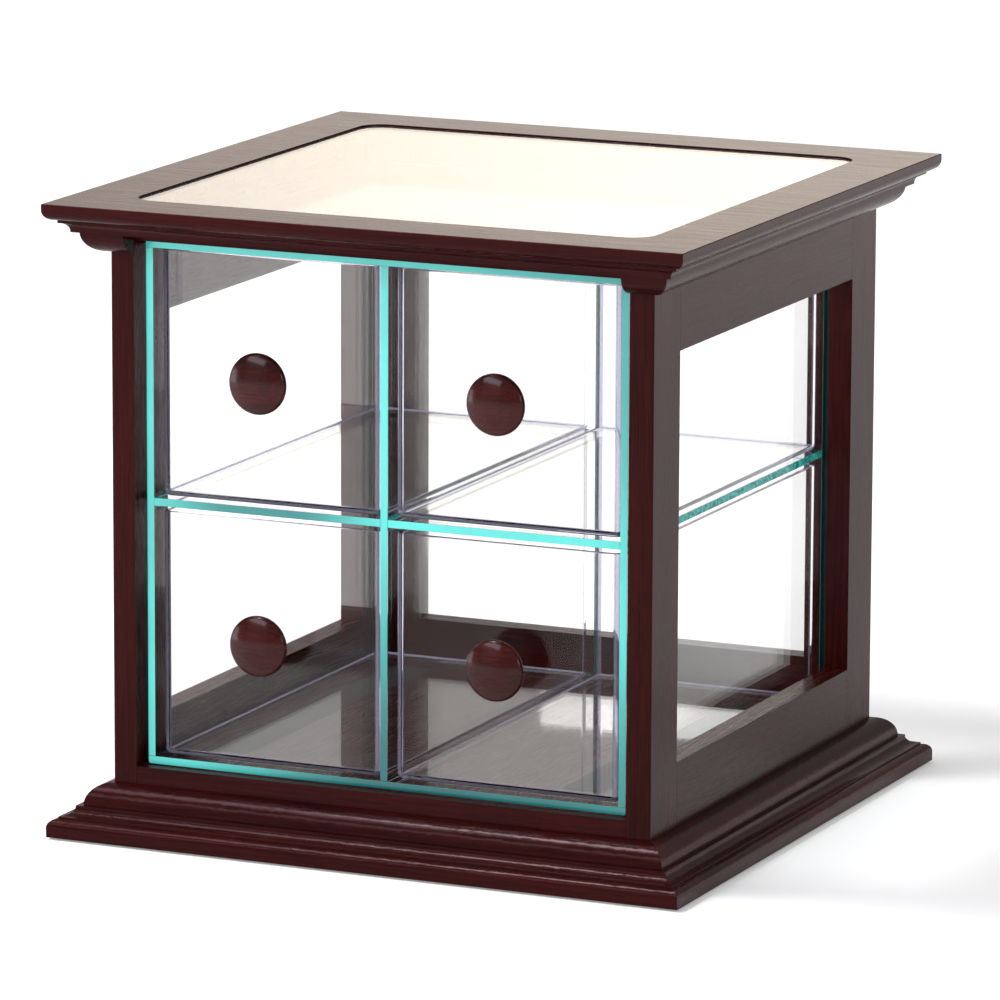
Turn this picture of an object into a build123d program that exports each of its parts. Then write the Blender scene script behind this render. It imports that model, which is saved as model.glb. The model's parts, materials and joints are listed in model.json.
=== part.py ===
"""Countertop bread display bin.

A moulded hardwood case stands around a clear acrylic box, which a divider and a shelf part into
four compartments, each with a clear pull-out bin. The front faces -Y, +X is to the right and +Z is up.
The origin is on the surface that the case stands on, below the middle of the case.
Sizes are in millimetres.
"""
import math
import os

from build123d import *

os.makedirs("parts", exist_ok=True)

# ---------------------------------------------------------------- driving dimensions
# Bins
bin_width = 152.0
bin_depth = 316.0
bin_height = 157.0
bin_wall = 3.0
bin_corner = 5.0
bin_bottom_round = 4.0

# Clearances around the bins, inside the acrylic box
bin_side_gap = 2.25
bin_glide_gap = 0.3
lower_headroom = 4.2
upper_headroom = 1.7
bin_recess = 6.5
bin_back_gap = 3.5

# Acrylic box
acrylic_thickness = 5.0
acrylic_arris = 1.6
lap_clearance = 0.1
box_recess = 9.0
box_side_gap = 4.0
box_back_gap = 14.0
box_top_gap = 0.5
tape_thickness = 0.5
tape_width = 25.0
tape_margin = 30.0

# Wooden case
frame_thickness = 16.0
side_stile = 42.0
back_stile = 28.5
top_rail_height = 61.0
bottom_rail_height = 66.5
front_rail_height = 37.5
header_height = 11.5
post_round = 1.5
tenon_length = 10.0
tenon_thickness = 6.0
tenon_shoulder = 9.0

# Top slab, its window and the pane
slab_thickness = 12.5
slab_face = 4.0
slab_fillet_height = 2.0
slab_fillet_inset = 7.5
slab_arris = 0.6
window_ledge = 7.0
window_corner = 16.0
pane_thickness = 5.0
pane_recess = 1.2
pane_gap = 0.5

# Mouldings: sizes are measured out from the case wall and up the moulding
overhang = 32.0
torus_out = 14.3
torus_height = 13.5
quirk_out = 18.0
crown_quirk_out = 18.5
quirk_height = 0.8
cove_height = 5.4
base_fillet_height = 1.2
nose_round_out = 6.0
nose_round_height = 5.4
nose_face_height = 6.2

# Deck and what carries it
deck_thickness = 12.0
cleat_size = 14.0
cleat_screw_spacing = 180.0
foot_height = 8.0
foot_radius = 9.0
foot_taper = 1.5
skirt_gap = 1.5

# Knobs and their screws
knob_radius = 19.5
knob_projection = 25.5
knob_dome_radius = 37.0
knob_shoulder = 3.2
knob_rim_out = 16.5
knob_lip = 1.6
knob_collar_radius = 9.0
knob_collar_height = 2.2
knob_raise = 2.0
knob_bore_depth = 14.0
screw_radius = 2.0
screw_head_radius = 4.0
screw_head_height = 2.6
screw_fit = 0.05
screw_hole_gap = 0.3
knob_screw_grip = 12.5
cleat_screw_bite = 11.0

# ---------------------------------------------------------------- worked-out sizes and levels
compartment_width = bin_width + 2 * bin_side_gap
box_width = 2 * compartment_width + 3 * acrylic_thickness
box_depth = bin_recess + bin_depth + bin_back_gap + acrylic_thickness
lower_height = bin_glide_gap + bin_height + lower_headroom
upper_height = bin_glide_gap + bin_height + upper_headroom
box_inside_height = lower_height + acrylic_thickness + upper_height
box_height = box_inside_height + 2 * acrylic_thickness

opening_width = box_width + 2 * box_side_gap
case_width = opening_width + 2 * frame_thickness
case_depth = box_recess + box_depth + box_back_gap + frame_thickness
inside_depth = case_depth - 2 * frame_thickness

frame_bottom = foot_height
deck_level = frame_bottom + front_rail_height
box_bottom = deck_level + tape_thickness
box_floor = box_bottom + acrylic_thickness
shelf_bottom = box_floor + lower_height
shelf_level = shelf_bottom + acrylic_thickness
box_ceiling = box_floor + box_inside_height
box_top = box_bottom + box_height
header_bottom = box_top + box_top_gap
slab_bottom = header_bottom + header_height
slab_top = slab_bottom + slab_thickness
frame_height = slab_bottom - frame_bottom

crown_height = torus_height + quirk_height + cove_height
crown_bottom = slab_bottom - crown_height
slab_width = case_width + 2 * overhang
slab_depth = case_depth + 2 * overhang
slab_nose_round = slab_thickness - slab_face - slab_fillet_height

case_front = -case_depth / 2
case_back = case_depth / 2
frame_mid_x = (opening_width + frame_thickness) / 2
box_front = case_front + box_recess
box_back = box_front + box_depth
bin_front = box_front + bin_recess
bin_mid_x = (acrylic_thickness + compartment_width) / 2
bin_floors = {"lower": box_floor + bin_glide_gap, "upper": shelf_level + bin_glide_gap}
knob_height = bin_height / 2 + knob_raise

cleat_level = deck_level - deck_thickness - cleat_size / 2
cleat_face_x = opening_width / 2 - cleat_size
cleat_face_y = inside_depth / 2 - cleat_size
screw_steps = (-cleat_screw_spacing / 2, cleat_screw_spacing / 2)

# Boxes and cylinders that stand on the point where they are placed
standing = (Align.CENTER, Align.CENTER, Align.MIN)

# Planes of the cleat screws, on the cleats' inner faces, with their normals towards the rails
screw_planes = {
    "left": [Plane((-cleat_face_x, y, cleat_level), z_dir=(-1, 0, 0)) for y in screw_steps],
    "right": [Plane((cleat_face_x, y, cleat_level), z_dir=(1, 0, 0)) for y in screw_steps],
    "back": [Plane((x, cleat_face_y, cleat_level), z_dir=(0, 1, 0)) for x in screw_steps],
}


def store(piece, name):
    """Label one finished piece and write it as a node of its own."""
    piece.part.label = name
    export_step(piece.part, f"parts/{name}.step")


def cleat_screw_holes(side):
    """Holes through a cleat and into the rail behind it, taken out of the piece being built."""
    with Locations(*screw_planes[side]):
        Cylinder(
            screw_radius + screw_fit,
            cleat_size + cleat_screw_bite,
            align=standing,
            mode=Mode.SUBTRACT,
        )


# ---------------------------------------------------------------- top slab and pane
with BuildPart() as top_slab:
    with BuildSketch(Plane.XY.offset(slab_bottom)):
        Rectangle(slab_width - 2 * slab_fillet_inset, slab_depth - 2 * slab_fillet_inset)
    extrude(amount=slab_fillet_height)
    with BuildSketch(Plane.XY.offset(slab_bottom + slab_fillet_height)):
        Rectangle(slab_width, slab_depth)
    nose = extrude(amount=slab_thickness - slab_fillet_height)
    fillet(nose.edges().group_by(Axis.Z)[0], radius=slab_nose_round)
    fillet(top_slab.edges().group_by(Axis.Z)[-1], radius=slab_arris)
    with BuildSketch(Plane.XY.offset(slab_bottom)):
        RectangleRounded(opening_width, inside_depth, window_corner - window_ledge)
    extrude(amount=slab_thickness, mode=Mode.SUBTRACT)
    with BuildSketch(Plane.XY.offset(slab_top)):
        RectangleRounded(opening_width + 2 * window_ledge, inside_depth + 2 * window_ledge, window_corner)
    extrude(amount=-(pane_recess + pane_thickness), mode=Mode.SUBTRACT)
store(top_slab, "top_slab")

with BuildPart() as top_window:
    with BuildSketch(Plane.XY.offset(slab_top - pane_recess)):
        RectangleRounded(
            opening_width + 2 * (window_ledge - pane_gap),
            inside_depth + 2 * (window_ledge - pane_gap),
            window_corner - pane_gap,
        )
    extrude(amount=-pane_thickness)
store(top_window, "top_window")


# ---------------------------------------------------------------- mitred crown and base mouldings
sides = {"front": (0, -1), "right": (1, 0), "back": (0, 1), "left": (-1, 0)}


def wall_distance(outward):
    """How far the case wall on this side stands from the middle."""
    return case_width / 2 if outward[0] else case_depth / 2


def wall_plane(outward, level):
    """Plane of a moulding's section: local x points out of the wall, local y up."""
    out = Vector(*outward, 0)
    along = Vector(outward[1], -outward[0], 0)
    foot = out * wall_distance(outward) + Vector(0, 0, level)
    return Plane(origin=foot, x_dir=out, z_dir=along)


def mitre_planes(outward):
    """Upright planes at 45 degrees through the case corners at both ends of this side."""
    out = Vector(*outward, 0)
    along = Vector(outward[1], -outward[0], 0)
    half_wall = case_depth / 2 if outward[0] else case_width / 2
    middle = out * wall_distance(outward)
    return [Plane(origin=middle + along * (way * half_wall), z_dir=along * way - out) for way in (1, -1)]


def quarter(middle, out, up, start):
    """Quarter of an ellipse, turning anticlockwise from the start angle."""
    EllipticalCenterArc(middle, out, up, start, arc_size=90)


def crown_section():
    """Outline: cove over a quirk over a big quarter-round that rolls back to the wall."""
    cove_out = overhang - slab_fillet_inset
    quirk_level = torus_height + quirk_height
    with BuildLine() as outline:
        Line((0, crown_height), (cove_out, crown_height))
        quarter((cove_out, quirk_level), cove_out - crown_quirk_out, cove_height, 90)
        Polyline(
            (crown_quirk_out, quirk_level),
            (crown_quirk_out, torus_height),
            (torus_out, torus_height),
        )
        quarter((0, torus_height), torus_out, torus_height, 270)
        Line((0, 0), (0, crown_height))
    return outline.edges()


def base_section():
    """Outline: upright nose with a rounded shoulder, a fillet, a cove, a quirk and a big quarter-round."""
    shoulder_out = overhang - nose_round_out
    fillet_level = nose_face_height + nose_round_height
    cove_level = fillet_level + base_fillet_height
    quirk_level = cove_level + cove_height
    torus_level = quirk_level + quirk_height
    with BuildLine() as outline:
        Polyline((0, 0), (overhang, 0), (overhang, nose_face_height))
        quarter((shoulder_out, nose_face_height), nose_round_out, nose_round_height, 0)
        Line((shoulder_out, fillet_level), (shoulder_out, cove_level))
        quarter((shoulder_out, quirk_level), shoulder_out - quirk_out, cove_height, 180)
        Polyline(
            (quirk_out, quirk_level),
            (quirk_out, torus_level),
            (torus_out, torus_level),
        )
        quarter((0, torus_level), torus_out, torus_height, 0)
        Line((0, torus_level + torus_height), (0, 0))
    return outline.edges()


for side, outward in sides.items():
    run = max(slab_width, slab_depth) / 2

    with BuildPart() as crown:
        with BuildSketch(wall_plane(outward, crown_bottom)):
            make_face(crown_section())
        extrude(amount=run, both=True)
        for mitre in mitre_planes(outward):
            split(bisect_by=mitre, keep=Keep.BOTTOM)
        if side == "front":
            # The quarter-round stops square at the posts, so that the acrylic box shows full height.
            with Locations((0, case_front, crown_bottom)):
                Box(
                    opening_width,
                    2 * overhang,
                    torus_height,
                    align=standing,
                    mode=Mode.SUBTRACT,
                )
    store(crown, f"crown_{side}")

    with BuildPart() as skirt:
        with BuildSketch(wall_plane(outward, skirt_gap)):
            make_face(base_section())
        extrude(amount=run, both=True)
        for mitre in mitre_planes(outward):
            split(bisect_by=mitre, keep=Keep.BOTTOM)
    store(skirt, f"base_moulding_{side}")


# ---------------------------------------------------------------- side frames and back frame
def tenon_height(rail_height):
    return rail_height - 2 * tenon_shoulder


rail_levels = {
    "bottom": (frame_bottom, bottom_rail_height),
    "top": (slab_bottom - top_rail_height, top_rail_height),
}

for side, way in (("left", -1), ("right", 1)):
    frame_x = way * frame_mid_x
    outwards = Axis((0, 0, 0), (way, 0, 0))

    for place, end in (("front", -1), ("back", 1)):
        endwards = Axis((0, 0, 0), (0, end, 0))
        stile_y = end * (case_depth - side_stile) / 2
        window_y = end * (case_depth / 2 - side_stile)
        with BuildPart() as stile:
            with Locations((frame_x, stile_y, frame_bottom)):
                Box(frame_thickness, side_stile, frame_height, align=standing)
            outer_face = stile.faces().sort_by(outwards)[-1]
            fillet(outer_face.edges().filter_by(Axis.Z).sort_by(endwards)[-1], radius=post_round)
            for level, rail_height in rail_levels.values():
                with Locations((frame_x, window_y, level + rail_height / 2)):
                    Box(
                        tenon_thickness,
                        2 * tenon_length,
                        tenon_height(rail_height),
                        mode=Mode.SUBTRACT,
                    )
        store(stile, f"{side}_{place}_stile")

    for place, (level, rail_height) in rail_levels.items():
        rail_length = case_depth - 2 * side_stile
        with BuildPart() as rail:
            with Locations((frame_x, 0, level + rail_height / 2)):
                Box(frame_thickness, rail_length, rail_height)
                Box(tenon_thickness, rail_length + 2 * tenon_length, tenon_height(rail_height))
            if place == "bottom":
                cleat_screw_holes(side)
        store(rail, f"{side}_{place}_rail")

for side, way in (("left", -1), ("right", 1)):
    stile_x = way * (opening_width - back_stile) / 2
    window_x = way * (opening_width / 2 - back_stile)
    with BuildPart() as stile:
        with Locations((stile_x, case_back - frame_thickness / 2, frame_bottom)):
            Box(back_stile, frame_thickness, frame_height, align=standing)
        for level, rail_height in rail_levels.values():
            with Locations((window_x, case_back - frame_thickness / 2, level + rail_height / 2)):
                Box(
                    2 * tenon_length,
                    tenon_thickness,
                    tenon_height(rail_height),
                    mode=Mode.SUBTRACT,
                )
    store(stile, f"back_{side}_stile")

for place, (level, rail_height) in rail_levels.items():
    rail_length = opening_width - 2 * back_stile
    with BuildPart() as rail:
        with Locations((0, case_back - frame_thickness / 2, level + rail_height / 2)):
            Box(rail_length, frame_thickness, rail_height)
            Box(rail_length + 2 * tenon_length, tenon_thickness, tenon_height(rail_height))
        if place == "bottom":
            cleat_screw_holes("back")
    store(rail, f"back_{place}_rail")

# ---------------------------------------------------------------- front rails, deck, cleats and feet
front_rail_y = case_front + frame_thickness / 2

with BuildPart() as front_rail:
    with Locations((0, front_rail_y, frame_bottom)):
        Box(opening_width, frame_thickness, front_rail_height, align=standing)
store(front_rail, "front_rail")

with BuildPart() as header_rail:
    with Locations((0, front_rail_y, header_bottom)):
        Box(opening_width, frame_thickness, header_height, align=standing)
store(header_rail, "header_rail")

with BuildPart() as deck_board:
    with Locations((0, 0, deck_level - deck_thickness)):
        Box(opening_width, inside_depth, deck_thickness, align=standing)
store(deck_board, "deck_board")

side_cleat_x = cleat_face_x + cleat_size / 2
back_cleat_y = cleat_face_y + cleat_size / 2
cleats = {
    "left": ((-side_cleat_x, 0, cleat_level), (cleat_size, inside_depth, cleat_size)),
    "right": ((side_cleat_x, 0, cleat_level), (cleat_size, inside_depth, cleat_size)),
    "back": ((0, back_cleat_y, cleat_level), (2 * cleat_face_x, cleat_size, cleat_size)),
}

for side, (middle, size) in cleats.items():
    with BuildPart() as cleat:
        with Locations(middle):
            Box(*size)
        cleat_screw_holes(side)
    store(cleat, f"deck_cleat_{side}")

with BuildPart() as cleat_screws:
    for planes in screw_planes.values():
        with Locations(*planes):
            Cylinder(screw_head_radius, screw_head_height, align=(Align.CENTER, Align.CENTER, Align.MAX))
            Cylinder(screw_radius, cleat_size + cleat_screw_bite, align=standing)
store(cleat_screws, "cleat_screws")

for place, way, end in (
    ("front_left", -1, -1),
    ("front_right", 1, -1),
    ("back_left", -1, 1),
    ("back_right", 1, 1),
):
    with BuildPart() as foot:
        with Locations((way * opening_width / 2, end * inside_depth / 2, 0)):
            Cone(foot_radius - foot_taper, foot_radius, foot_height, align=standing)
    store(foot, f"foot_{place}")

# ---------------------------------------------------------------- acrylic box
box_mid_y = (box_front + box_back) / 2
box_side_x = (box_width - acrylic_thickness) / 2
lap_depth = (box_depth - acrylic_thickness) / 2
lap_y = box_front + lap_depth
inner_width = box_width - 2 * acrylic_thickness

with BuildPart() as box_bottom_panel:
    with Locations((0, box_mid_y, box_bottom)):
        Box(box_width, box_depth, acrylic_thickness, align=standing)
    fillet(box_bottom_panel.edges().filter_by(Axis.Y).group_by(Axis.Z)[0], radius=acrylic_arris)
store(box_bottom_panel, "box_bottom_panel")

with BuildPart() as box_top_panel:
    with Locations((0, box_mid_y, box_ceiling)):
        Box(box_width, box_depth, acrylic_thickness, align=standing)
    fillet(box_top_panel.edges().filter_by(Axis.Y).group_by(Axis.Z)[-1], radius=acrylic_arris)
store(box_top_panel, "box_top_panel")

for side, way in (("left", -1), ("right", 1)):
    with BuildPart() as box_side_panel:
        with Locations((way * box_side_x, box_mid_y, box_floor)):
            Box(acrylic_thickness, box_depth, box_inside_height, align=standing)
    store(box_side_panel, f"box_{side}_panel")

with BuildPart() as box_back_panel:
    with Locations((0, box_back - acrylic_thickness / 2, box_floor)):
        Box(inner_width, acrylic_thickness, box_inside_height, align=standing)
store(box_back_panel, "box_back_panel")

# The divider is slotted from behind and the shelf from the front, so that they lap crosswise.
with BuildPart() as box_divider:
    with Locations((0, lap_y, box_floor)):
        Box(acrylic_thickness, 2 * lap_depth, box_inside_height, align=standing)
    with Locations((0, lap_y, shelf_bottom - lap_clearance)):
        Box(
            acrylic_thickness,
            lap_depth,
            acrylic_thickness + 2 * lap_clearance,
            align=(Align.CENTER, Align.MIN, Align.MIN),
            mode=Mode.SUBTRACT,
        )
store(box_divider, "box_divider")

with BuildPart() as box_shelf:
    with Locations((0, lap_y, shelf_bottom)):
        Box(inner_width, 2 * lap_depth, acrylic_thickness, align=standing)
        Box(
            acrylic_thickness + 2 * lap_clearance,
            lap_depth,
            acrylic_thickness,
            align=(Align.CENTER, Align.MAX, Align.MIN),
            mode=Mode.SUBTRACT,
        )
store(box_shelf, "box_shelf")

for side, way in (("left", -1), ("right", 1)):
    with BuildPart() as tape:
        with Locations((way * (box_width / 2 - tape_margin - tape_width / 2), box_mid_y, deck_level)):
            Box(tape_width, box_depth - 2 * tape_margin, tape_thickness, align=standing)
    store(tape, f"box_tape_{side}")


# ---------------------------------------------------------------- bins, knobs and knob screws
def build_bin(middle_x, floor):
    """Open-topped moulded tray with rounded corners and a screw hole in its front wall."""
    bin_mid_y = bin_front + bin_depth / 2
    with BuildPart() as tray:
        with BuildSketch(Plane((middle_x, bin_mid_y, floor))):
            RectangleRounded(bin_width, bin_depth, bin_corner)
        extrude(amount=bin_height)
        fillet(tray.faces().sort_by(Axis.Z)[0].edges(), radius=bin_bottom_round)
        offset(amount=-bin_wall, openings=tray.faces().sort_by(Axis.Z)[-1])
        with Locations(Plane(origin=(middle_x, bin_front, floor + knob_height), z_dir=(0, 1, 0))):
            Cylinder(
                screw_radius + screw_hole_gap,
                2 * bin_wall,
                mode=Mode.SUBTRACT,
            )
    return tray


def knob_section():
    """Outline of half the knob before its shoulder is rounded: collar, flared neck, lip and shallow dome."""
    bore_radius = screw_radius + screw_fit
    lip_start = (knob_radius - knob_lip, knob_rim_out)
    lip_end = (knob_radius, knob_rim_out + knob_lip)
    dome_drop = knob_dome_radius - math.sqrt(knob_dome_radius**2 - knob_radius**2)
    dome_edge = (knob_radius, knob_projection - dome_drop)
    with BuildLine() as outline:
        Polyline(
            (0, knob_bore_depth),
            (bore_radius, knob_bore_depth),
            (bore_radius, 0),
            (knob_collar_radius, 0),
            (knob_collar_radius, knob_collar_height),
        )
        TangentArc(lip_start, (knob_collar_radius, knob_collar_height), tangent=(-1, 0))
        TangentArc(lip_start, lip_end, tangent=(1, 0))
        Line(lip_end, dome_edge)
        TangentArc((0, knob_projection), dome_edge, tangent=(1, 0))
        Line((0, knob_projection), (0, knob_bore_depth))
    return outline.edges()


def knob_plane(middle_x, middle_z):
    """Plane through the knob's axis: local x is its radius, local y points out of the bin."""
    return Plane(origin=(middle_x, bin_front, middle_z), x_dir=(1, 0, 0), z_dir=(0, 0, -1))


for row, floor in bin_floors.items():
    for side, way in (("left", -1), ("right", 1)):
        middle_x = way * bin_mid_x
        middle_z = floor + knob_height
        plane = knob_plane(middle_x, middle_z)
        axis = Axis(plane.origin, plane.y_dir)
        store(build_bin(middle_x, floor), f"bin_{row}_{side}")

        with BuildPart() as knob:
            with BuildSketch(plane) as half_knob:
                make_face(knob_section())
                shoulder = half_knob.vertices().group_by(Axis.X)[-1].sort_by(Axis.Y)[-1]
                fillet(shoulder, radius=knob_shoulder)
            revolve(axis=axis)
        store(knob, f"knob_{row}_{side}")

        with BuildPart() as knob_screw:
            with BuildSketch(plane):
                with BuildLine():
                    Polyline(
                        (0, -bin_wall - screw_head_height),
                        (screw_head_radius, -bin_wall - screw_head_height),
                        (screw_head_radius, -bin_wall),
                        (screw_radius, -bin_wall),
                        (screw_radius, knob_screw_grip),
                        (0, knob_screw_grip),
                        close=True,
                    )
                make_face()
            revolve(axis=axis)
        store(knob_screw, f"knob_screw_{row}_{side}")
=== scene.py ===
import json
import math
from contextlib import contextmanager

import bmesh
import bpy
from bpy.props import FloatProperty, FloatVectorProperty, IntProperty, PointerProperty
from bpy.types import Operator, Panel, PropertyGroup
from mathutils import Matrix, Vector

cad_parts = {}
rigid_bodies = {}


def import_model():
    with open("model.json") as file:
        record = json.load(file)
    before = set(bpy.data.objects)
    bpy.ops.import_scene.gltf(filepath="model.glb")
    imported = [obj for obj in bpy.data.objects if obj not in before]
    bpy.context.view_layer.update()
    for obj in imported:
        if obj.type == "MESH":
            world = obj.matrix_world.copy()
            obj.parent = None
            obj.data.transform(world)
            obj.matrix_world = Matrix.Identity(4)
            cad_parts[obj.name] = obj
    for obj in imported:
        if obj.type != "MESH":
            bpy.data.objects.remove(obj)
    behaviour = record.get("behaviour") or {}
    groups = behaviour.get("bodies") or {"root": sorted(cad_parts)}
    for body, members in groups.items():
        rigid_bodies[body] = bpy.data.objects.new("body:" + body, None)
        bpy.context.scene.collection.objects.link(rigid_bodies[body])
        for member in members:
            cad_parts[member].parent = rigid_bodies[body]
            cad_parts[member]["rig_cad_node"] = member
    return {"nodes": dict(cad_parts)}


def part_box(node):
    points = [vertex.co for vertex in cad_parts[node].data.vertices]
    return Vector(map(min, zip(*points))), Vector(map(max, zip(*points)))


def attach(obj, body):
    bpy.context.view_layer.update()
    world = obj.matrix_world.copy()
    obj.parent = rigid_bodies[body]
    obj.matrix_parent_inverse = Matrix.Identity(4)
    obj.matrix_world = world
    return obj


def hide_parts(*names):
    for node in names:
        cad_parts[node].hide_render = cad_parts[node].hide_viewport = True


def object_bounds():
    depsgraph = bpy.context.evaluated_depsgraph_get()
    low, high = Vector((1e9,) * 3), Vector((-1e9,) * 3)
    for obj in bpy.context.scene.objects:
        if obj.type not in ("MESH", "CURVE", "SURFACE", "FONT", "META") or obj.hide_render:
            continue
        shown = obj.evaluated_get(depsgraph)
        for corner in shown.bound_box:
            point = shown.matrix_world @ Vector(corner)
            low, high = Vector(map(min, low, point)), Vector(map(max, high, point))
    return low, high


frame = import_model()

bl_info = {
    "name": "Bread display bin",
    "version": (1, 0, 0),
    "blender": (4, 5, 0),
    "location": "3D View > Sidebar > Bread Bin",
    "description": "Finishes the wooden case, the clear box, the pull-out bins and their knobs",
    "category": "Object",
}

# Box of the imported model, before any new piece: (lowest corner, highest corner)
cad_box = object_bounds()

ROWS = ("lower", "upper")
SIDES = ("left", "right")
BODY = "case"

AROUND = ("front", "right", "back", "left")
MOULDINGS = [f"{kind}_{side}" for kind in ("crown", "base_moulding") for side in AROUND]
BOARDS = [
    "top_slab",
    "front_rail",
    "header_rail",
    "deck_board",
    "deck_cleat_left",
    "deck_cleat_right",
    "deck_cleat_back",
    "back_left_stile",
    "back_right_stile",
    "back_top_rail",
    "back_bottom_rail",
    *[f"{side}_{place}_stile" for side in SIDES for place in ("front", "back")],
    *[f"{side}_{place}_rail" for side in SIDES for place in ("top", "bottom")],
]
SHEETS = [
    "box_bottom_panel",
    "box_top_panel",
    "box_left_panel",
    "box_right_panel",
    "box_back_panel",
    "box_divider",
    "box_shelf",
]
FEET = ["foot_front_left", "foot_front_right", "foot_back_left", "foot_back_right"]
TAPES = ["box_tape_left", "box_tape_right"]

# A weld this wide joins the loose triangles of a CAD copy, and is far finer than any real edge.
WELD = 2e-6
FLAT_ANGLE = math.radians(0.4)
SHARP_ANGLE = math.radians(32)
SMOOTH_ANGLE = math.radians(50)

# Reflection of the lacquer head on. Real lacquer has 0.5, which turns grey on a white floor.
LACQUER_SPECULAR = 0.08

# Places beside the front edges of the clear box where painted shade darkens the green sheet edges: (place,
# reach, least light)
PAINTED_SHADE_PLACES = (
    ((0.02, -0.176, 0.045), 0.19, 0.0),
    ((-0.085, -0.176, 0.215), 0.10, 0.15),
    ((0.17, -0.176, 0.34), 0.16, 0.5),
    ((0.12, -0.176, 0.045), 0.12, 0.2),
)

# Mottling of an edge: (scale, noise at its darkest, noise at its lightest, darkest level)
POLISHED_MOTTLE = (14.0, 0.3, 0.6, 0.8)
SAWN_MOTTLE = (420.0, 0.42, 0.56, 0.1)

# Steps along the knob's profile: its hollow, the edge of its lip, its shoulder and its dome
HOLLOW_STEPS = 14
LIP_STEPS = 6
SHOULDER_STEPS = 8
DOME_STEPS = 12

# Distance of the rear softboxes behind the middle of the case
REAR = 1.1


# ------------------------------------------------------------------------------ settings
def length_setting(name, description, default, least=0.0):
    """A size in metres that a user can change."""
    return FloatProperty(name=name, description=description, subtype="DISTANCE", default=default, min=least)


def colour_setting(name, description, default):
    """A colour that a user can change."""
    return FloatVectorProperty(
        name=name, description=description, subtype="COLOR", default=default, min=0.0, max=1.0
    )


class WoodFinish(PropertyGroup):
    dark_stain: colour_setting(
        "Dark Stain", "Colour of the stain in the dense late wood", (0.010, 0.0012, 0.0010)
    )
    light_stain: colour_setting(
        "Light Stain", "Colour of the stain in the open early wood", (0.044, 0.0046, 0.0038)
    )
    arris: length_setting("Board Arris", "Width of the sanded edges of the boards", 0.00015)
    moulding_arris: length_setting("Moulding Arris", "Width of the sanded edges of the mouldings", 0.00022)


class SheetFinish(PropertyGroup):
    edge_colour: colour_setting(
        "Edge Colour", "Green of the polished edges of the clear sheets", (0.090, 0.72, 0.65)
    )
    # The edge shade is the colour of the painted shade on the green edges.
    edge_shade: colour_setting(
        "Edge Shade", "Green of the edges where little light comes out of them", (0.002, 0.13, 0.13)
    )
    face_tint: colour_setting(
        "Face Tint", "Tint of what is seen through the face of a sheet", (0.990, 0.998, 0.996)
    )
    arris: length_setting("Polished Arris", "Width of the flame-polished edges of the sheets", 0.0003)
    index: FloatProperty(
        name="Refractive Index",
        description="Refractive index of the box sheets and bins, kept low so that they stay clear",
        default=1.2,
        min=1.0,
        max=2.0,
    )
    pane_index: FloatProperty(
        name="Pane Index",
        description="Refractive index of the top pane",
        default=1.49,
        min=1.0,
        max=2.0,
    )


class BinMoulding(PropertyGroup):
    wall: length_setting("Wall", "Thickness of the walls and the floor of a bin", 0.003, 0.0005)
    corner: length_setting("Corner Radius", "Outer radius of a bin's upright corners", 0.005)
    bottom_round: length_setting("Bottom Radius", "Outer radius between a bin's walls and its floor", 0.004)
    inner_round: length_setting(
        "Inner Bottom Radius", "Radius inside a bin, between its walls and its floor", 0.001
    )
    rim_round: length_setting("Rim Radius", "Radius of the edges of a bin's rim", 0.0007)
    hole_radius: length_setting(
        "Screw Hole Radius", "Radius of the hole in a bin's front wall for the knob's screw", 0.0023, 0.0005
    )
    tint: colour_setting("Tint", "Tint of the moulded plastic", (0.995, 0.990, 0.986))
    # The deep tint is a painted sheen: the bins' curved corners turn part of the light back, dull and
    # violet.
    painted_sheen_tint: colour_setting(
        "Painted Sheen Tint", "Tint of the moulded plastic where light runs along a wall", (0.62, 0.60, 0.76)
    )


class KnobTurning(PropertyGroup):
    collar_radius: length_setting(
        "Collar Radius", "Radius of the knob's collar, where it meets the bin", 0.009, 0.001
    )
    collar_height: length_setting("Collar Height", "Height of the knob's collar", 0.0022, 0.0005)
    rim_out: length_setting(
        "Rim Distance", "Distance from the bin to the underside of the knob's cap", 0.0165, 0.001
    )
    lip: length_setting("Lip Radius", "Radius of the lower edge of the knob's rim", 0.0016, 0.0001)
    shoulder: length_setting(
        "Shoulder Radius", "Radius of the upper edge of the knob's rim", 0.0032, 0.0001
    )
    dome_radius: length_setting("Dome Radius", "Radius of the knob's domed face", 0.037, 0.02)
    turns: IntProperty(
        name="Segments",
        description="Number of segments around a knob",
        default=96,
        min=12,
    )
    dark_stain: colour_setting("Dark Stain", "Colour of the knobs' dark wood", (0.011, 0.0014, 0.0012))
    light_stain: colour_setting("Light Stain", "Colour of the knobs' light wood", (0.060, 0.0070, 0.0045))


class ScrewSizes(PropertyGroup):
    shank_radius: length_setting("Shank Radius", "Radius of a screw's shank", 0.002, 0.0005)
    head_round: length_setting("Head Rounding", "Radius of the edge of a screw's pan head", 0.0011)
    recess_length: length_setting(
        "Recess Length", "Length of each arm of the cross recess, from tip to tip", 0.0046, 0.0005
    )
    recess_width: length_setting("Recess Width", "Width of each arm of the cross recess", 0.0010, 0.0002)
    recess_depth: length_setting("Recess Depth", "Depth of the cross recess", 0.0014, 0.0002)
    cleat_spacing: length_setting(
        "Cleat Screw Spacing", "Distance between the two screws of a deck cleat", 0.18, 0.01
    )


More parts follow.
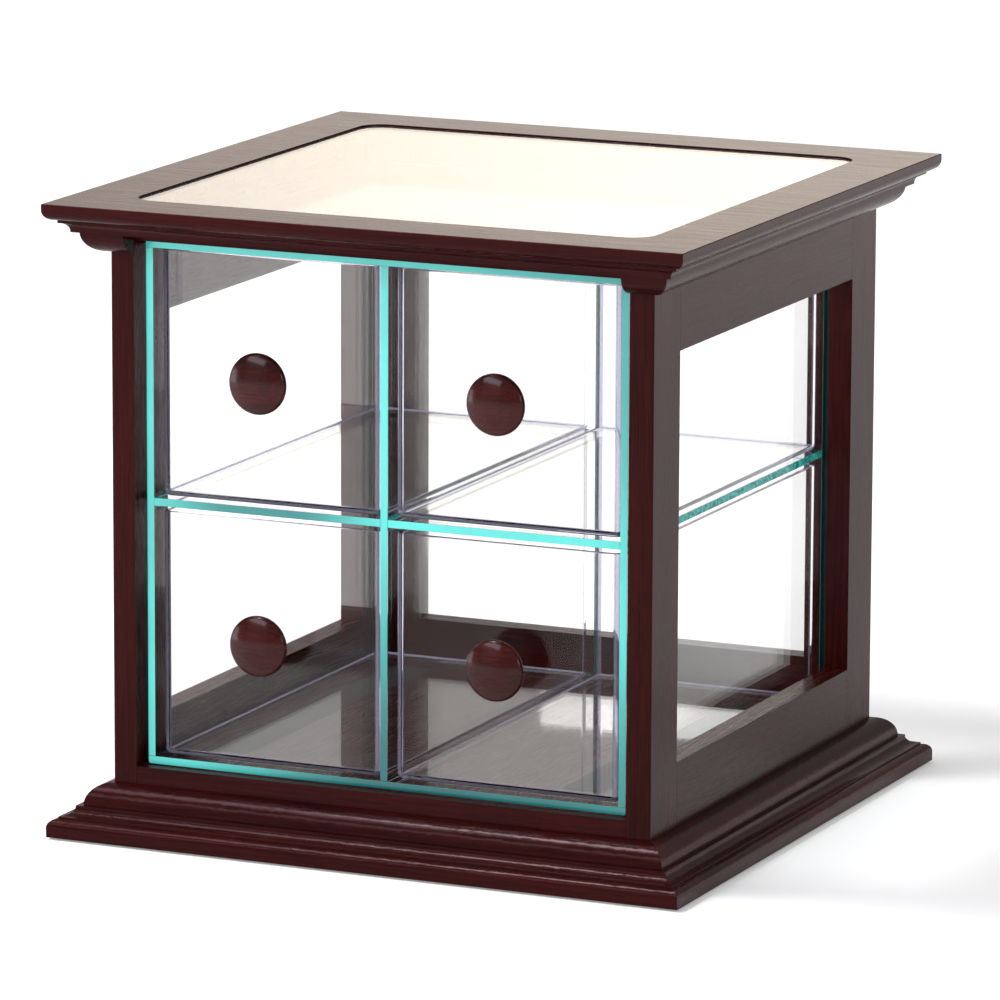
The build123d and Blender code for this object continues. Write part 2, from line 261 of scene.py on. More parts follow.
class StudioStage(PropertyGroup):
    camera_place: FloatVectorProperty(
        name="Camera Place",
        description="Where the camera stands",
        subtype="TRANSLATION",
        unit="LENGTH",
        default=(1.917567, -4.287845, 1.149734),
    )
    camera_turn: FloatVectorProperty(
        name="Camera Turn",
        description="Yaw to the left, tilt down and roll of the camera",
        subtype="EULER",
        unit="ROTATION",
        default=(0.4205474, 0.2000049, 0.0040647),
    )
    lens: FloatProperty(
        name="Lens",
        description="Focal length on a sensor 36 mm wide",
        unit="CAMERA",
        default=269.458,
        min=1.0,
    )
    room_level: FloatProperty(
        name="Room Level",
        description="Strength of the even light from all round",
        default=0.45,
        min=0.0,
    )
    near_lift: FloatProperty(
        name="Near Lift",
        description="Glow that brings the floor near the case up to white where it is seen",
        default=0.25,
        min=0.0,
    )
    far_lift: FloatProperty(
        name="Far Lift",
        description="Glow that brings the floor far from the case up to white where it is seen",
        default=0.6,
        min=0.0,
    )
    floor_colour: colour_setting("Floor Colour", "Colour of the floor", (0.86, 0.86, 0.86))
    floor_size: length_setting("Floor Size", "Length of each side of the floor", 60.0, 1.0)


class BreadBinSettings(PropertyGroup):
    wood: PointerProperty(type=WoodFinish)
    sheets: PointerProperty(type=SheetFinish)
    bins: PointerProperty(type=BinMoulding)
    knobs: PointerProperty(type=KnobTurning)
    screws: PointerProperty(type=ScrewSizes)
    stage: PointerProperty(type=StudioStage)


# ------------------------------------------------------------------------------ modelling helpers
def deselect_all():
    bpy.ops.object.select_all(action="DESELECT")


def make_active(piece):
    deselect_all()
    piece.select_set(True)
    bpy.context.view_layer.objects.active = piece


@contextmanager
def editing(piece):
    """Edit mode on one piece, with nothing selected at the start."""
    make_active(piece)
    bpy.ops.object.mode_set(mode="EDIT")
    bpy.ops.mesh.select_all(action="DESELECT")
    yield
    bpy.ops.object.mode_set(mode="OBJECT")


def pick_faces(piece, wanted):
    """Select the faces in edit mode that pass the test, and nothing else."""
    bpy.ops.mesh.select_mode(type="FACE")
    bpy.ops.mesh.select_all(action="DESELECT")
    mesh = bmesh.from_edit_mesh(piece.data)
    for face in mesh.faces:
        face.select_set(bool(wanted(face)))
    bmesh.update_edit_mesh(piece.data)


def pick_edges(piece, wanted):
    """Select the edges in edit mode that pass the test, and nothing else."""
    bpy.ops.mesh.select_mode(type="EDGE")
    bpy.ops.mesh.select_all(action="DESELECT")
    mesh = bmesh.from_edit_mesh(piece.data)
    for edge in mesh.edges:
        if wanted(edge):
            edge.select_set(True)
    bmesh.update_edit_mesh(piece.data)


def all_at(edge, axis, level, slack=1e-5):
    """True if both ends of the edge lie at that level on the axis."""
    return all(abs(corner.co[axis] - level) < slack for corner in edge.verts)


def runs_along(edge, axis):
    """True if the edge is parallel to that axis."""
    way = edge.verts[1].co - edge.verts[0].co
    return abs(way[axis]) > 0.999 * way.length


def add_block(name, lowest, highest):
    """A new box between two corners, with its place in its mesh."""
    deselect_all()
    bpy.ops.mesh.primitive_cube_add(size=1, location=(lowest + highest) / 2, scale=highest - lowest)
    block = bpy.context.active_object
    block.name = block.data.name = name
    bpy.ops.object.transform_apply(location=True, rotation=True, scale=True)
    return block


def add_cylinder(name, radius, start, finish, sides=48):
    """A new cylinder between two points on its axis, with its place in its mesh."""
    deselect_all()
    way = finish - start
    turn = way.to_track_quat("Z", "Y").to_euler()
    bpy.ops.mesh.primitive_cylinder_add(
        vertices=sides, radius=radius, depth=way.length, location=(start + finish) / 2, rotation=turn
    )
    cylinder = bpy.context.active_object
    cylinder.name = cylinder.data.name = name
    bpy.ops.object.transform_apply(location=True, rotation=True, scale=True)
    return cylinder


def cut_away(piece, cutter):
    """Take the cutter's shape out of the piece, and delete the cutter."""
    make_active(piece)
    cut = piece.modifiers.new("cut", "BOOLEAN")
    cut.operation = "DIFFERENCE"
    cut.solver = "EXACT"
    cut.object = cutter
    bpy.ops.object.modifier_apply(modifier=cut.name)
    bpy.data.objects.remove(cutter)


def smooth_over(piece):
    """Smooth shading that keeps the real edges sharp and the large faces flat."""
    make_active(piece)
    bpy.ops.object.shade_smooth_by_angle(angle=SMOOTH_ANGLE)
    even = piece.modifiers.new("even", "WEIGHTED_NORMAL")
    even.mode = "FACE_AREA"
    even.weight = 100
    even.keep_sharp = True
    bpy.ops.object.modifier_apply(modifier=even.name)


def welded_copy(node, name):
    """A copy of a CAD piece with its loose triangles welded and its flat faces whole."""
    make_active(frame["nodes"][node])
    bpy.ops.object.duplicate()
    piece = bpy.context.active_object
    piece.name = piece.data.name = name
    piece.parent = None
    del piece["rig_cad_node"]
    bpy.ops.mesh.customdata_custom_splitnormals_clear()
    with editing(piece):
        bpy.ops.mesh.select_all(action="SELECT")
        bpy.ops.mesh.remove_doubles(threshold=WELD)
        bpy.ops.mesh.dissolve_limited(angle_limit=FLAT_ANGLE)
    return piece


def ease_arrises(piece, width):
    """Bevel the sharp edges of a piece, as sanding or polishing does."""
    make_active(piece)
    ease = piece.modifiers.new("ease", "BEVEL")
    ease.width = width
    ease.segments = 2
    ease.limit_method = "ANGLE"
    ease.angle_limit = SHARP_ANGLE
    ease.miter_outer = "MITER_ARC"
    bpy.ops.object.modifier_apply(modifier=ease.name)
    smooth_over(piece)


def copy_to(piece, name, step):
    """A copy of a piece with a mesh of its own, moved by a step."""
    make_active(piece)
    bpy.ops.object.duplicate()
    twin = bpy.context.active_object
    twin.name = twin.data.name = name
    twin.location = step
    bpy.ops.object.transform_apply(location=True, rotation=True, scale=True)
    return twin


def coat_with(piece, *materials):
    piece.data.materials.clear()
    for material in materials:
        piece.data.materials.append(material)


def settle(piece, body, slot, *nodes):
    """Put the piece on its body, in the place of the CAD nodes that it stands for."""
    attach(piece, body)
    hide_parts(*nodes)


# ------------------------------------------------------------------------------ shader helpers
def add_node(tree, kind, inputs=None, **settings):
    """A new shader node. Each input is a value, or a socket that is linked to it."""
    node = tree.nodes.new(kind)
    for name, value in settings.items():
        setattr(node, name, value)
    for socket, value in (inputs or {}).items():
        if isinstance(value, bpy.types.NodeSocket):
            tree.links.new(value, node.inputs[socket])
        else:
            node.inputs[socket].default_value = value
    return node


def new_group(name, inputs, outputs):
    """A shader node group with named sockets; returns the group and its input and output nodes."""
    group = bpy.data.node_groups.new(name, "ShaderNodeTree")
    for socket, (kind, value) in inputs.items():
        made = group.interface.new_socket(socket, in_out="INPUT", socket_type=kind)
        if value is not None:
            made.default_value = value
    for socket, kind in outputs.items():
        group.interface.new_socket(socket, in_out="OUTPUT", socket_type=kind)
    return group, group.nodes.new("NodeGroupInput"), group.nodes.new("NodeGroupOutput")


def new_material(name):
    """A material with an empty tree and its output node."""
    material = bpy.data.materials.new(name)
    material.use_nodes = True
    tree = material.node_tree
    tree.nodes.clear()
    return material, tree, tree.nodes.new("ShaderNodeOutputMaterial")


def ramp_node(tree, factor, stops):
    """A colour ramp fed by a factor, with (position, colour) stops."""
    ramp = add_node(tree, "ShaderNodeValToRGB", {"Fac": factor})
    points = ramp.color_ramp.elements
    while len(points) < len(stops):
        points.new(0.5)
    for point, (position, colour) in zip(points, stops):
        point.position = position
        point.color = (*colour, 1.0)
    return ramp


def grey(value):
    return (value, value, value)


def wood_figure_group():
    """Figure of stained, lacquered wood with its grain along local X: colour, roughness and normal."""
    group, given, gives = new_group(
        "wood_figure",
        {
            "Vector": ("NodeSocketVector", None),
            "Dark Stain": ("NodeSocketColor", (0.02, 0.006, 0.005, 1.0)),
            "Light Stain": ("NodeSocketColor", (0.08, 0.02, 0.015, 1.0)),
            "Lacquer Roughness": ("NodeSocketFloat", 0.3),
            "Pore Depth": ("NodeSocketFloat", 0.1),
        },
        {"Colour": "NodeSocketColor", "Roughness": "NodeSocketFloat", "Normal": "NodeSocketVector"},
    )
    place = given.outputs["Vector"]
    drift = add_node(group, "ShaderNodeTexNoise", {"Vector": place, "Scale": 6.0, "Detail": 2.0})
    bend = add_node(
        group,
        "ShaderNodeVectorMath",
        {0: drift.outputs["Color"], 1: (0.05, 0.012, 0.012)},
        operation="MULTIPLY",
    )
    bent = add_node(group, "ShaderNodeVectorMath", {0: place, 1: bend.outputs[0]}, operation="ADD")

    def streaks(stretch, detail, rough):
        along = add_node(
            group, "ShaderNodeVectorMath", {0: bent.outputs[0], 1: stretch}, operation="MULTIPLY"
        )
        noise = add_node(
            group,
            "ShaderNodeTexNoise",
            {"Vector": along.outputs[0], "Scale": 1.0, "Detail": detail, "Roughness": rough},
        )
        return noise.outputs["Fac"]

    bands = streaks((3.0, 45.0, 45.0), 3.0, 0.55)
    fibres = streaks((16.0, 520.0, 520.0), 3.0, 0.6)
    pores = streaks((36.0, 1900.0, 1900.0), 1.0, 0.5)
    broad = add_node(
        group, "ShaderNodeMapRange", {"Value": bands, "From Min": 0.33, "From Max": 0.68, "To Max": 1.0}
    )
    fine = add_node(
        group, "ShaderNodeMapRange", {"Value": fibres, "From Min": 0.3, "From Max": 0.7, "To Max": 1.0}
    )
    figure = add_node(
        group,
        "ShaderNodeMix",
        {"Factor": 0.5, 2: broad.outputs[0], 3: fine.outputs[0]},
        data_type="FLOAT",
    )
    stained = add_node(
        group,
        "ShaderNodeMix",
        {
            "Factor": figure.outputs[0],
            6: given.outputs["Dark Stain"],
            7: given.outputs["Light Stain"],
        },
        data_type="RGBA",
    )
    pore_mask = add_node(
        group,
        "ShaderNodeMapRange",
        {"Value": pores, "From Min": 0.60, "From Max": 0.72, "To Max": 1.0},
    )
    darkened = add_node(
        group,
        "ShaderNodeMix",
        {"Factor": pore_mask.outputs[0], 6: stained.outputs[2], 7: given.outputs["Dark Stain"]},
        data_type="RGBA",
    )
    group.links.new(darkened.outputs[2], gives.inputs["Colour"])

    spread = add_node(
        group, "ShaderNodeMapRange", {"Value": fine.outputs[0], "To Min": -0.04, "To Max": 0.05}
    )
    dulled = add_node(
        group,
        "ShaderNodeMath",
        {0: spread.outputs[0], 1: given.outputs["Lacquer Roughness"]},
        operation="ADD",
        use_clamp=True,
    )
    group.links.new(dulled.outputs[0], gives.inputs["Roughness"])

    peel = add_node(group, "ShaderNodeTexNoise", {"Vector": place, "Scale": 260.0, "Detail": 1.0})
    relief = add_node(
        group,
        "ShaderNodeMix",
        {"Factor": 0.3, 2: fine.outputs[0], 3: peel.outputs["Fac"]},
        data_type="FLOAT",
    )
    sunk = add_node(
        group, "ShaderNodeMath", {0: relief.outputs[0], 1: pore_mask.outputs[0]}, operation="SUBTRACT"
    )
    bump = add_node(
        group,
        "ShaderNodeBump",
        {"Height": sunk.outputs[0], "Strength": given.outputs["Pore Depth"], "Distance": 0.0002},
    )
    group.links.new(bump.outputs[0], gives.inputs["Normal"])
    return group


def handling_marks_group():
    """Faint wipe marks and smudges on polished plastic: roughness and normal."""
    group, given, gives = new_group(
        "handling_marks",
        {
            "Vector": ("NodeSocketVector", None),
            "Clean Roughness": ("NodeSocketFloat", 0.0),
            "Smudged Roughness": ("NodeSocketFloat", 0.05),
            "Waviness": ("NodeSocketFloat", 0.02),
        },
        {"Roughness": "NodeSocketFloat", "Normal": "NodeSocketVector"},
    )
    place = given.outputs["Vector"]
    smudge = add_node(group, "ShaderNodeTexNoise", {"Vector": place, "Scale": 22.0, "Detail": 5.0})
    level = add_node(
        group,
        "ShaderNodeMapRange",
        {
            "Value": smudge.outputs["Fac"],
            "From Min": 0.52,
            "From Max": 0.75,
            "To Min": given.outputs["Clean Roughness"],
            "To Max": given.outputs["Smudged Roughness"],
        },
    )
    group.links.new(level.outputs[0], gives.inputs["Roughness"])
    wave = add_node(group, "ShaderNodeTexNoise", {"Vector": place, "Scale": 9.0, "Detail": 0.0})
    bump = add_node(
        group,
        "ShaderNodeBump",
        {"Height": wave.outputs["Fac"], "Strength": given.outputs["Waviness"], "Distance": 0.001},
    )
    group.links.new(bump.outputs[0], gives.inputs["Normal"])
    return group


def shared_group(name, builder):
    """The node group of that name, built the first time that it is asked for."""
    return bpy.data.node_groups.get(name) or builder()


def place_group(tree, group, inputs):
    node = add_node(tree, "ShaderNodeGroup", node_tree=group)
    for socket, value in inputs.items():
        if isinstance(value, bpy.types.NodeSocket):
            tree.links.new(value, node.inputs[socket])
        else:
            node.inputs[socket].default_value = value
    return node


def stained_wood(name, grain_axis, dark, light, roughness, pore_depth, coat, coat_roughness, gleam):
    """Stained wood under lacquer, with its grain along one axis of the object."""
    material, tree, output = new_material(name)
    turns = {"X": (0, 0, 0), "Y": (0, 0, math.pi / 2), "Z": (0, math.pi / 2, 0)}
    place = add_node(tree, "ShaderNodeTexCoord")
    along = add_node(
        tree,
        "ShaderNodeMapping",
        {"Vector": place.outputs["Object"], "Rotation": turns[grain_axis]},
    )
    figure = place_group(
        tree,
        shared_group("wood_figure", wood_figure_group),
        {
            "Vector": along.outputs[0],
            "Dark Stain": (*dark, 1.0),
            "Light Stain": (*light, 1.0),
            "Lacquer Roughness": roughness,
            "Pore Depth": pore_depth,
        },
    )
    surface = add_node(
        tree,
        "ShaderNodeBsdfPrincipled",
        {
            "Base Color": figure.outputs["Colour"],
            "Roughness": figure.outputs["Roughness"],
            "Normal": figure.outputs["Normal"],
            "Specular IOR Level": LACQUER_SPECULAR,
            "Specular Tint": (*gleam, 1.0),
            "Coat Weight": coat,
            "Coat Roughness": coat_roughness,
        },
    )
    tree.links.new(surface.outputs[0], output.inputs["Surface"])
    return material


def clear_plastic(name, tint, index, smudged, waviness, clearness=1.0):
    """Clear plastic that light from lamps and dull surfaces passes straight through."""
    material, tree, output = new_material(name)
    place = add_node(tree, "ShaderNodeTexCoord")
    marks = place_group(
        tree,
        shared_group("handling_marks", handling_marks_group),
        {
            "Vector": place.outputs["Object"],
            "Clean Roughness": 0.0,
            "Smudged Roughness": smudged,
            "Waviness": waviness,
        },
    )
    surface = add_node(
        tree,
        "ShaderNodeBsdfPrincipled",
        {
            "Base Color": (*tint, 1.0),
            "Roughness": marks.outputs["Roughness"],
            "Normal": marks.outputs["Normal"],
            "IOR": index,
            "Transmission Weight": clearness,
        },
    )
    through = add_node(tree, "ShaderNodeBsdfTransparent", {"Color": (*tint, 1.0)})
    ray = add_node(tree, "ShaderNodeLightPath")
    lets_by = add_node(
        tree,
        "ShaderNodeMath",
        {0: ray.outputs["Is Shadow Ray"], 1: ray.outputs["Is Diffuse Ray"]},
        operation="MAXIMUM",
    )
    mix = add_node(
        tree,
        "ShaderNodeMixShader",
        {0: lets_by.outputs[0], 1: surface.outputs[0], 2: through.outputs[0]},
    )
    tree.links.new(mix.outputs[0], output.inputs["Surface"])
    return material


def painted_edge_darkening_group():
    """Painted shade on a sheet's edge: a level that falls beside each of the fixed shade places."""
    inputs = {"Vector": ("NodeSocketVector", None)}
    for number in range(1, len(PAINTED_SHADE_PLACES) + 1):
        inputs[f"Place {number}"] = ("NodeSocketVector", (0.0, 0.0, 0.0))
        inputs[f"Reach {number}"] = ("NodeSocketFloat", 0.1)
        inputs[f"Least {number}"] = ("NodeSocketFloat", 1.0)
    group, given, gives = new_group("painted_edge_darkening", inputs, {"Light": "NodeSocketFloat"})
    light = None
    for number in range(1, len(PAINTED_SHADE_PLACES) + 1):
        away = add_node(
            group,
            "ShaderNodeVectorMath",
            {0: given.outputs["Vector"], 1: given.outputs[f"Place {number}"]},
            operation="DISTANCE",
        )
        level = add_node(
            group,
            "ShaderNodeMapRange",
            {
                "Value": away.outputs["Value"],
                "From Min": 0.02,
                "From Max": given.outputs[f"Reach {number}"],
                "To Min": given.outputs[f"Least {number}"],
                "To Max": 1.0,
            },
            interpolation_type="SMOOTHSTEP",
        ).outputs[0]
        if light is not None:
            level = add_node(group, "ShaderNodeMath", {0: light, 1: level}, operation="MULTIPLY").outputs[0]
        light = level
    group.links.new(light, gives.inputs["Light"])
    return group


def edge_with_painted_light_and_shade(name, colour, shade, mottle, glow):
    """Flame-polished green edge of a clear sheet, with painted shade beside fixed places, random mottling,
    and a painted glow from its emission.
    """
    scale, darkest, lightest, least_level = mottle
    material, tree, output = new_material(name)
    place = add_node(tree, "ShaderNodeTexCoord")
    darkened = {"Vector": place.outputs["Object"]}
    for number, (spot, reach, least) in enumerate(PAINTED_SHADE_PLACES, 1):
        darkened[f"Place {number}"] = spot
        darkened[f"Reach {number}"] = reach
        darkened[f"Least {number}"] = least
    light = place_group(tree, shared_group("painted_edge_darkening", painted_edge_darkening_group), darkened)
    cloud = add_node(
        tree, "ShaderNodeTexNoise", {"Vector": place.outputs["Object"], "Scale": scale, "Detail": 4.0}
    )
    varied = add_node(
        tree,
        "ShaderNodeMapRange",
        {
            "Value": cloud.outputs["Fac"],
            "From Min": darkest,
            "From Max": lightest,
            "To Min": least_level,
            "To Max": 1.0,
        },
    )
    level = add_node(
        tree, "ShaderNodeMath", {0: light.outputs["Light"], 1: varied.outputs[0]}, operation="MULTIPLY"
    )
    tone = ramp_node(tree, level.outputs[0], [(0.0, shade), (1.0, colour)])
    # Emission Strength gives the edge a painted glow of its own, as if it were a lamp.
    surface = add_node(
        tree,
        "ShaderNodeBsdfPrincipled",
        {
            "Base Color": tone.outputs["Color"],
            "Roughness": 0.12,
            "Coat Weight": 0.3,
            "Coat Roughness": 0.06,
            "Emission Color": tone.outputs["Color"],
            "Emission Strength": glow,
        },
    )
    tree.links.new(surface.outputs[0], output.inputs["Surface"])
    return material


def zinc_plate():
    material, tree, output = new_material("zinc_plate")
    place = add_node(tree, "ShaderNodeTexCoord")
    spangle = add_node(
        tree, "ShaderNodeTexNoise", {"Vector": place.outputs["Object"], "Scale": 900.0, "Detail": 3.0}
    )
    tone = ramp_node(tree, spangle.outputs["Fac"], [(0.35, grey(0.45)), (0.7, grey(0.68))])
    level = add_node(
        tree,
        "ShaderNodeMapRange",
        {"Value": spangle.outputs["Fac"], "From Min": 0.3, "From Max": 0.7, "To Min": 0.22, "To Max": 0.4},
    )
    surface = add_node(
        tree,
        "ShaderNodeBsdfPrincipled",
        {"Base Color": tone.outputs["Color"], "Metallic": 1.0, "Roughness": level.outputs[0]},
    )
    tree.links.new(surface.outputs[0], output.inputs["Surface"])
    return material


def matt_black(name, light, dark, scale, roughness, depth):
    """Rubber or foam: near black, with a fine grain."""
    material, tree, output = new_material(name)
    place = add_node(tree, "ShaderNodeTexCoord")
    grain = add_node(
        tree, "ShaderNodeTexNoise", {"Vector": place.outputs["Object"], "Scale": scale, "Detail": 3.0}
    )
    tone = ramp_node(tree, grain.outputs["Fac"], [(0.3, grey(dark)), (0.7, grey(light))])
    bump = add_node(
        tree, "ShaderNodeBump", {"Height": grain.outputs["Fac"], "Strength": depth, "Distance": 0.0002}
    )
    surface = add_node(
        tree,
        "ShaderNodeBsdfPrincipled",
        {
            "Base Color": tone.outputs["Color"],
            "Roughness": roughness,
            "Normal": bump.outputs[0],
        },
    )
    tree.links.new(surface.outputs[0], output.inputs["Surface"])
    return material


# ------------------------------------------------------------------------------ pieces
class BREADBIN_OT_wood(Operator):
    """Sand and stain the boards, rails, stiles and mouldings of the case"""

    bl_idname = "breadbin.wood"
    bl_label = "Finish Wood"

    def execute(self, context):
        settings = context.scene.bread_bin.wood
        stained = {
            axis: stained_wood(
                f"stained_wood_{axis.lower()}",
                axis,
                settings.dark_stain,
                settings.light_stain,
                roughness=0.27,
                pore_depth=0.08,
                coat=0.06,
                coat_roughness=0.10,
                gleam=(1.0, 0.42, 0.46),
            )
            for axis in "XYZ"
        }
        widths = {node: settings.arris for node in BOARDS}
        widths.update({node: settings.moulding_arris for node in MOULDINGS})
        for node, width in widths.items():
            lowest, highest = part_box(node)
            size = highest - lowest
            grain = "X" if node == "top_slab" else "XYZ"[max(range(3), key=lambda axis: size[axis])]
            piece = welded_copy(node, f"{node}_wood")
            ease_arrises(piece, width)
            coat_with(piece, stained[grain])
            settle(piece, BODY, "stained_hardwood", node)
        return {"FINISHED"}


class BREADBIN_OT_sheets(Operator):
    """Polish the seven sheets of the clear box, with green edges"""

    bl_idname = "breadbin.sheets"
    bl_label = "Finish Clear Box"

    def execute(self, context):
        settings = context.scene.bread_bin.sheets
        clear = clear_plastic("clear_sheet", settings.face_tint, settings.index, 0.03, 0.001)
        colour = settings.edge_colour
        deep = settings.edge_shade
        # The edge materials are lit and shaded copies of one green. The front-facing edges get painted
        # light with a painted glow. The other edges get painted shade. The shelf's sawn ends get a darker,
        # coarse-mottled green with a fainter painted glow.
        sawn_colour = [part * 0.8 for part in colour]
        painted_shade_colour = [part * 0.10 for part in colour]
        painted_shade_deep = [part * 0.2 for part in deep]
        lit = edge_with_painted_light_and_shade("painted_lit_sheet_edge", colour, deep, POLISHED_MOTTLE, 0.10)
        sawn = edge_with_painted_light_and_shade("sawn_sheet_edge", sawn_colour, deep, SAWN_MOTTLE, 0.05)
        dim = edge_with_painted_light_and_shade("painted_shade_sheet_edge", painted_shade_colour, painted_shade_deep, POLISHED_MOTTLE, 0.0)
        for node in SHEETS:
            lowest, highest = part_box(node)
            size = highest - lowest
            thin = min(range(3), key=lambda axis: size[axis])
            piece = welded_copy(node, f"{node}_sheet")
            ease_arrises(piece, settings.arris)
            coat_with(piece, clear, lit, dim, sawn)

            def edge_slot(face):
                """Material of a face: 0 on the broad faces, 1 to 3 on the edges."""
                if abs(face.normal[thin]) > 0.9:
                    return 0
                # Edges that face the front get the painted-light edge, and the other edges get the
                # painted-shade edge.
                if face.normal.y < -0.3:
                    return 1
                return 3 if node == "box_shelf" and abs(face.normal.x) > 0.3 else 2

            with editing(piece):
                for slot in (1, 2, 3):
                    pick_faces(piece, lambda face: edge_slot(face) == slot)
                    piece.active_material_index = slot
                    bpy.ops.object.material_slot_assign()
            settle(piece, BODY, "clear_acrylic", node)
        return {"FINISHED"}


class BREADBIN_OT_pane(Operator):
    """Cut and bed the clear pane in the top"""

    bl_idname = "breadbin.pane"
    bl_label = "Make Top Pane"

    bed: length_setting("Bed", "Thickness of the bedding between the pane and its rabbet", 0.0001)
    corner: length_setting("Corner Radius", "Radius of the pane's corners", 0.0155)
    arris: length_setting("Arris", "Width of the pane's polished edges", 0.0004)

    def execute(self, context):
        settings = context.scene.bread_bin.sheets
        lowest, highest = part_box("top_window")
        pane = add_block("top_pane", lowest + Vector((0, 0, self.bed)), highest)
        with editing(pane):
            pick_edges(pane, lambda edge: runs_along(edge, 2))
            bpy.ops.mesh.bevel(offset=self.corner, segments=14, affect="EDGES")
            pick_edges(pane, lambda edge: not runs_along(edge, 2))
            bpy.ops.mesh.bevel(offset=self.arris, segments=2, affect="EDGES")
        smooth_over(pane)
        clear = clear_plastic("clear_pane", settings.face_tint, settings.pane_index, 0.02, 0.001)
        coat_with(pane, clear)
        settle(pane, BODY, "window_pane", "top_window")
        return {"FINISHED"}


class BREADBIN_OT_bins(Operator):
    """Mould the four clear bins"""

    bl_idname = "breadbin.bins"
    bl_label = "Make Bins"

    def mould(self, name, lowest, highest, knob_axis, settings):
        """An open tray with rounded corners and a screw hole in its front wall."""
        tray = add_block(name, lowest, highest)
        floor = lowest.z + settings.wall
        with editing(tray):
            pick_edges(tray, lambda edge: runs_along(edge, 2))
            bpy.ops.mesh.bevel(offset=settings.corner, segments=8, affect="EDGES")
            pick_edges(tray, lambda edge: all_at(edge, 2, lowest.z))
            bpy.ops.mesh.bevel(offset=settings.bottom_round, segments=6, affect="EDGES")
            pick_faces(tray, lambda face: face.normal.z > 0.9)
            bpy.ops.mesh.inset(thickness=settings.wall, depth=0)
            bpy.ops.mesh.extrude_region_move(
                TRANSFORM_OT_translate={"value": (0, 0, floor - highest.z)}
            )
            pick_edges(tray, lambda edge: all_at(edge, 2, floor))
            bpy.ops.mesh.bevel(offset=settings.inner_round, segments=3, affect="EDGES")
            pick_edges(tray, lambda edge: all_at(edge, 2, highest.z))
            bpy.ops.mesh.bevel(offset=settings.rim_round, segments=3, affect="EDGES")
        front = Vector((knob_axis.x, lowest.y, knob_axis.z))
        reach = Vector((0, 2 * settings.wall, 0))
        cut_away(tray, add_cylinder("drill", settings.hole_radius, front - reach, front + reach, 32))
        smooth_over(tray)
        return tray

    def execute(self, context):
        settings = context.scene.bread_bin.bins
        sheets = context.scene.bread_bin.sheets
        clear = clear_plastic("clear_bin_plastic", settings.tint, sheets.index, 0.06, 0.01)
        # The curved corners of the bins get the deep plastic, partly dull and violet: a painted sheen in
        # place of light running along the walls.
        deep = clear_plastic("painted_sheen_bin_plastic", settings.painted_sheen_tint, sheets.index, 0.12, 0.01, 0.8)
        first = "bin_lower_left"
        home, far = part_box(first)
        low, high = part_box("knob_lower_left")
        master = self.mould("bin_master", home, far, (low + high) / 2, settings)
        coat_with(master, clear, deep)
        with editing(master):
            pick_faces(master, lambda face: max(abs(part) for part in face.normal) < 0.99)
            master.active_material_index = 1
            bpy.ops.object.material_slot_assign()
        for row in ROWS:
            for side in SIDES:
                node = f"bin_{row}_{side}"
                tray = copy_to(master, f"{node}_tray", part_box(node)[0] - home)
                settle(tray, node, "bin_plastic", node)
        bpy.data.objects.remove(master)
        return {"FINISHED"}


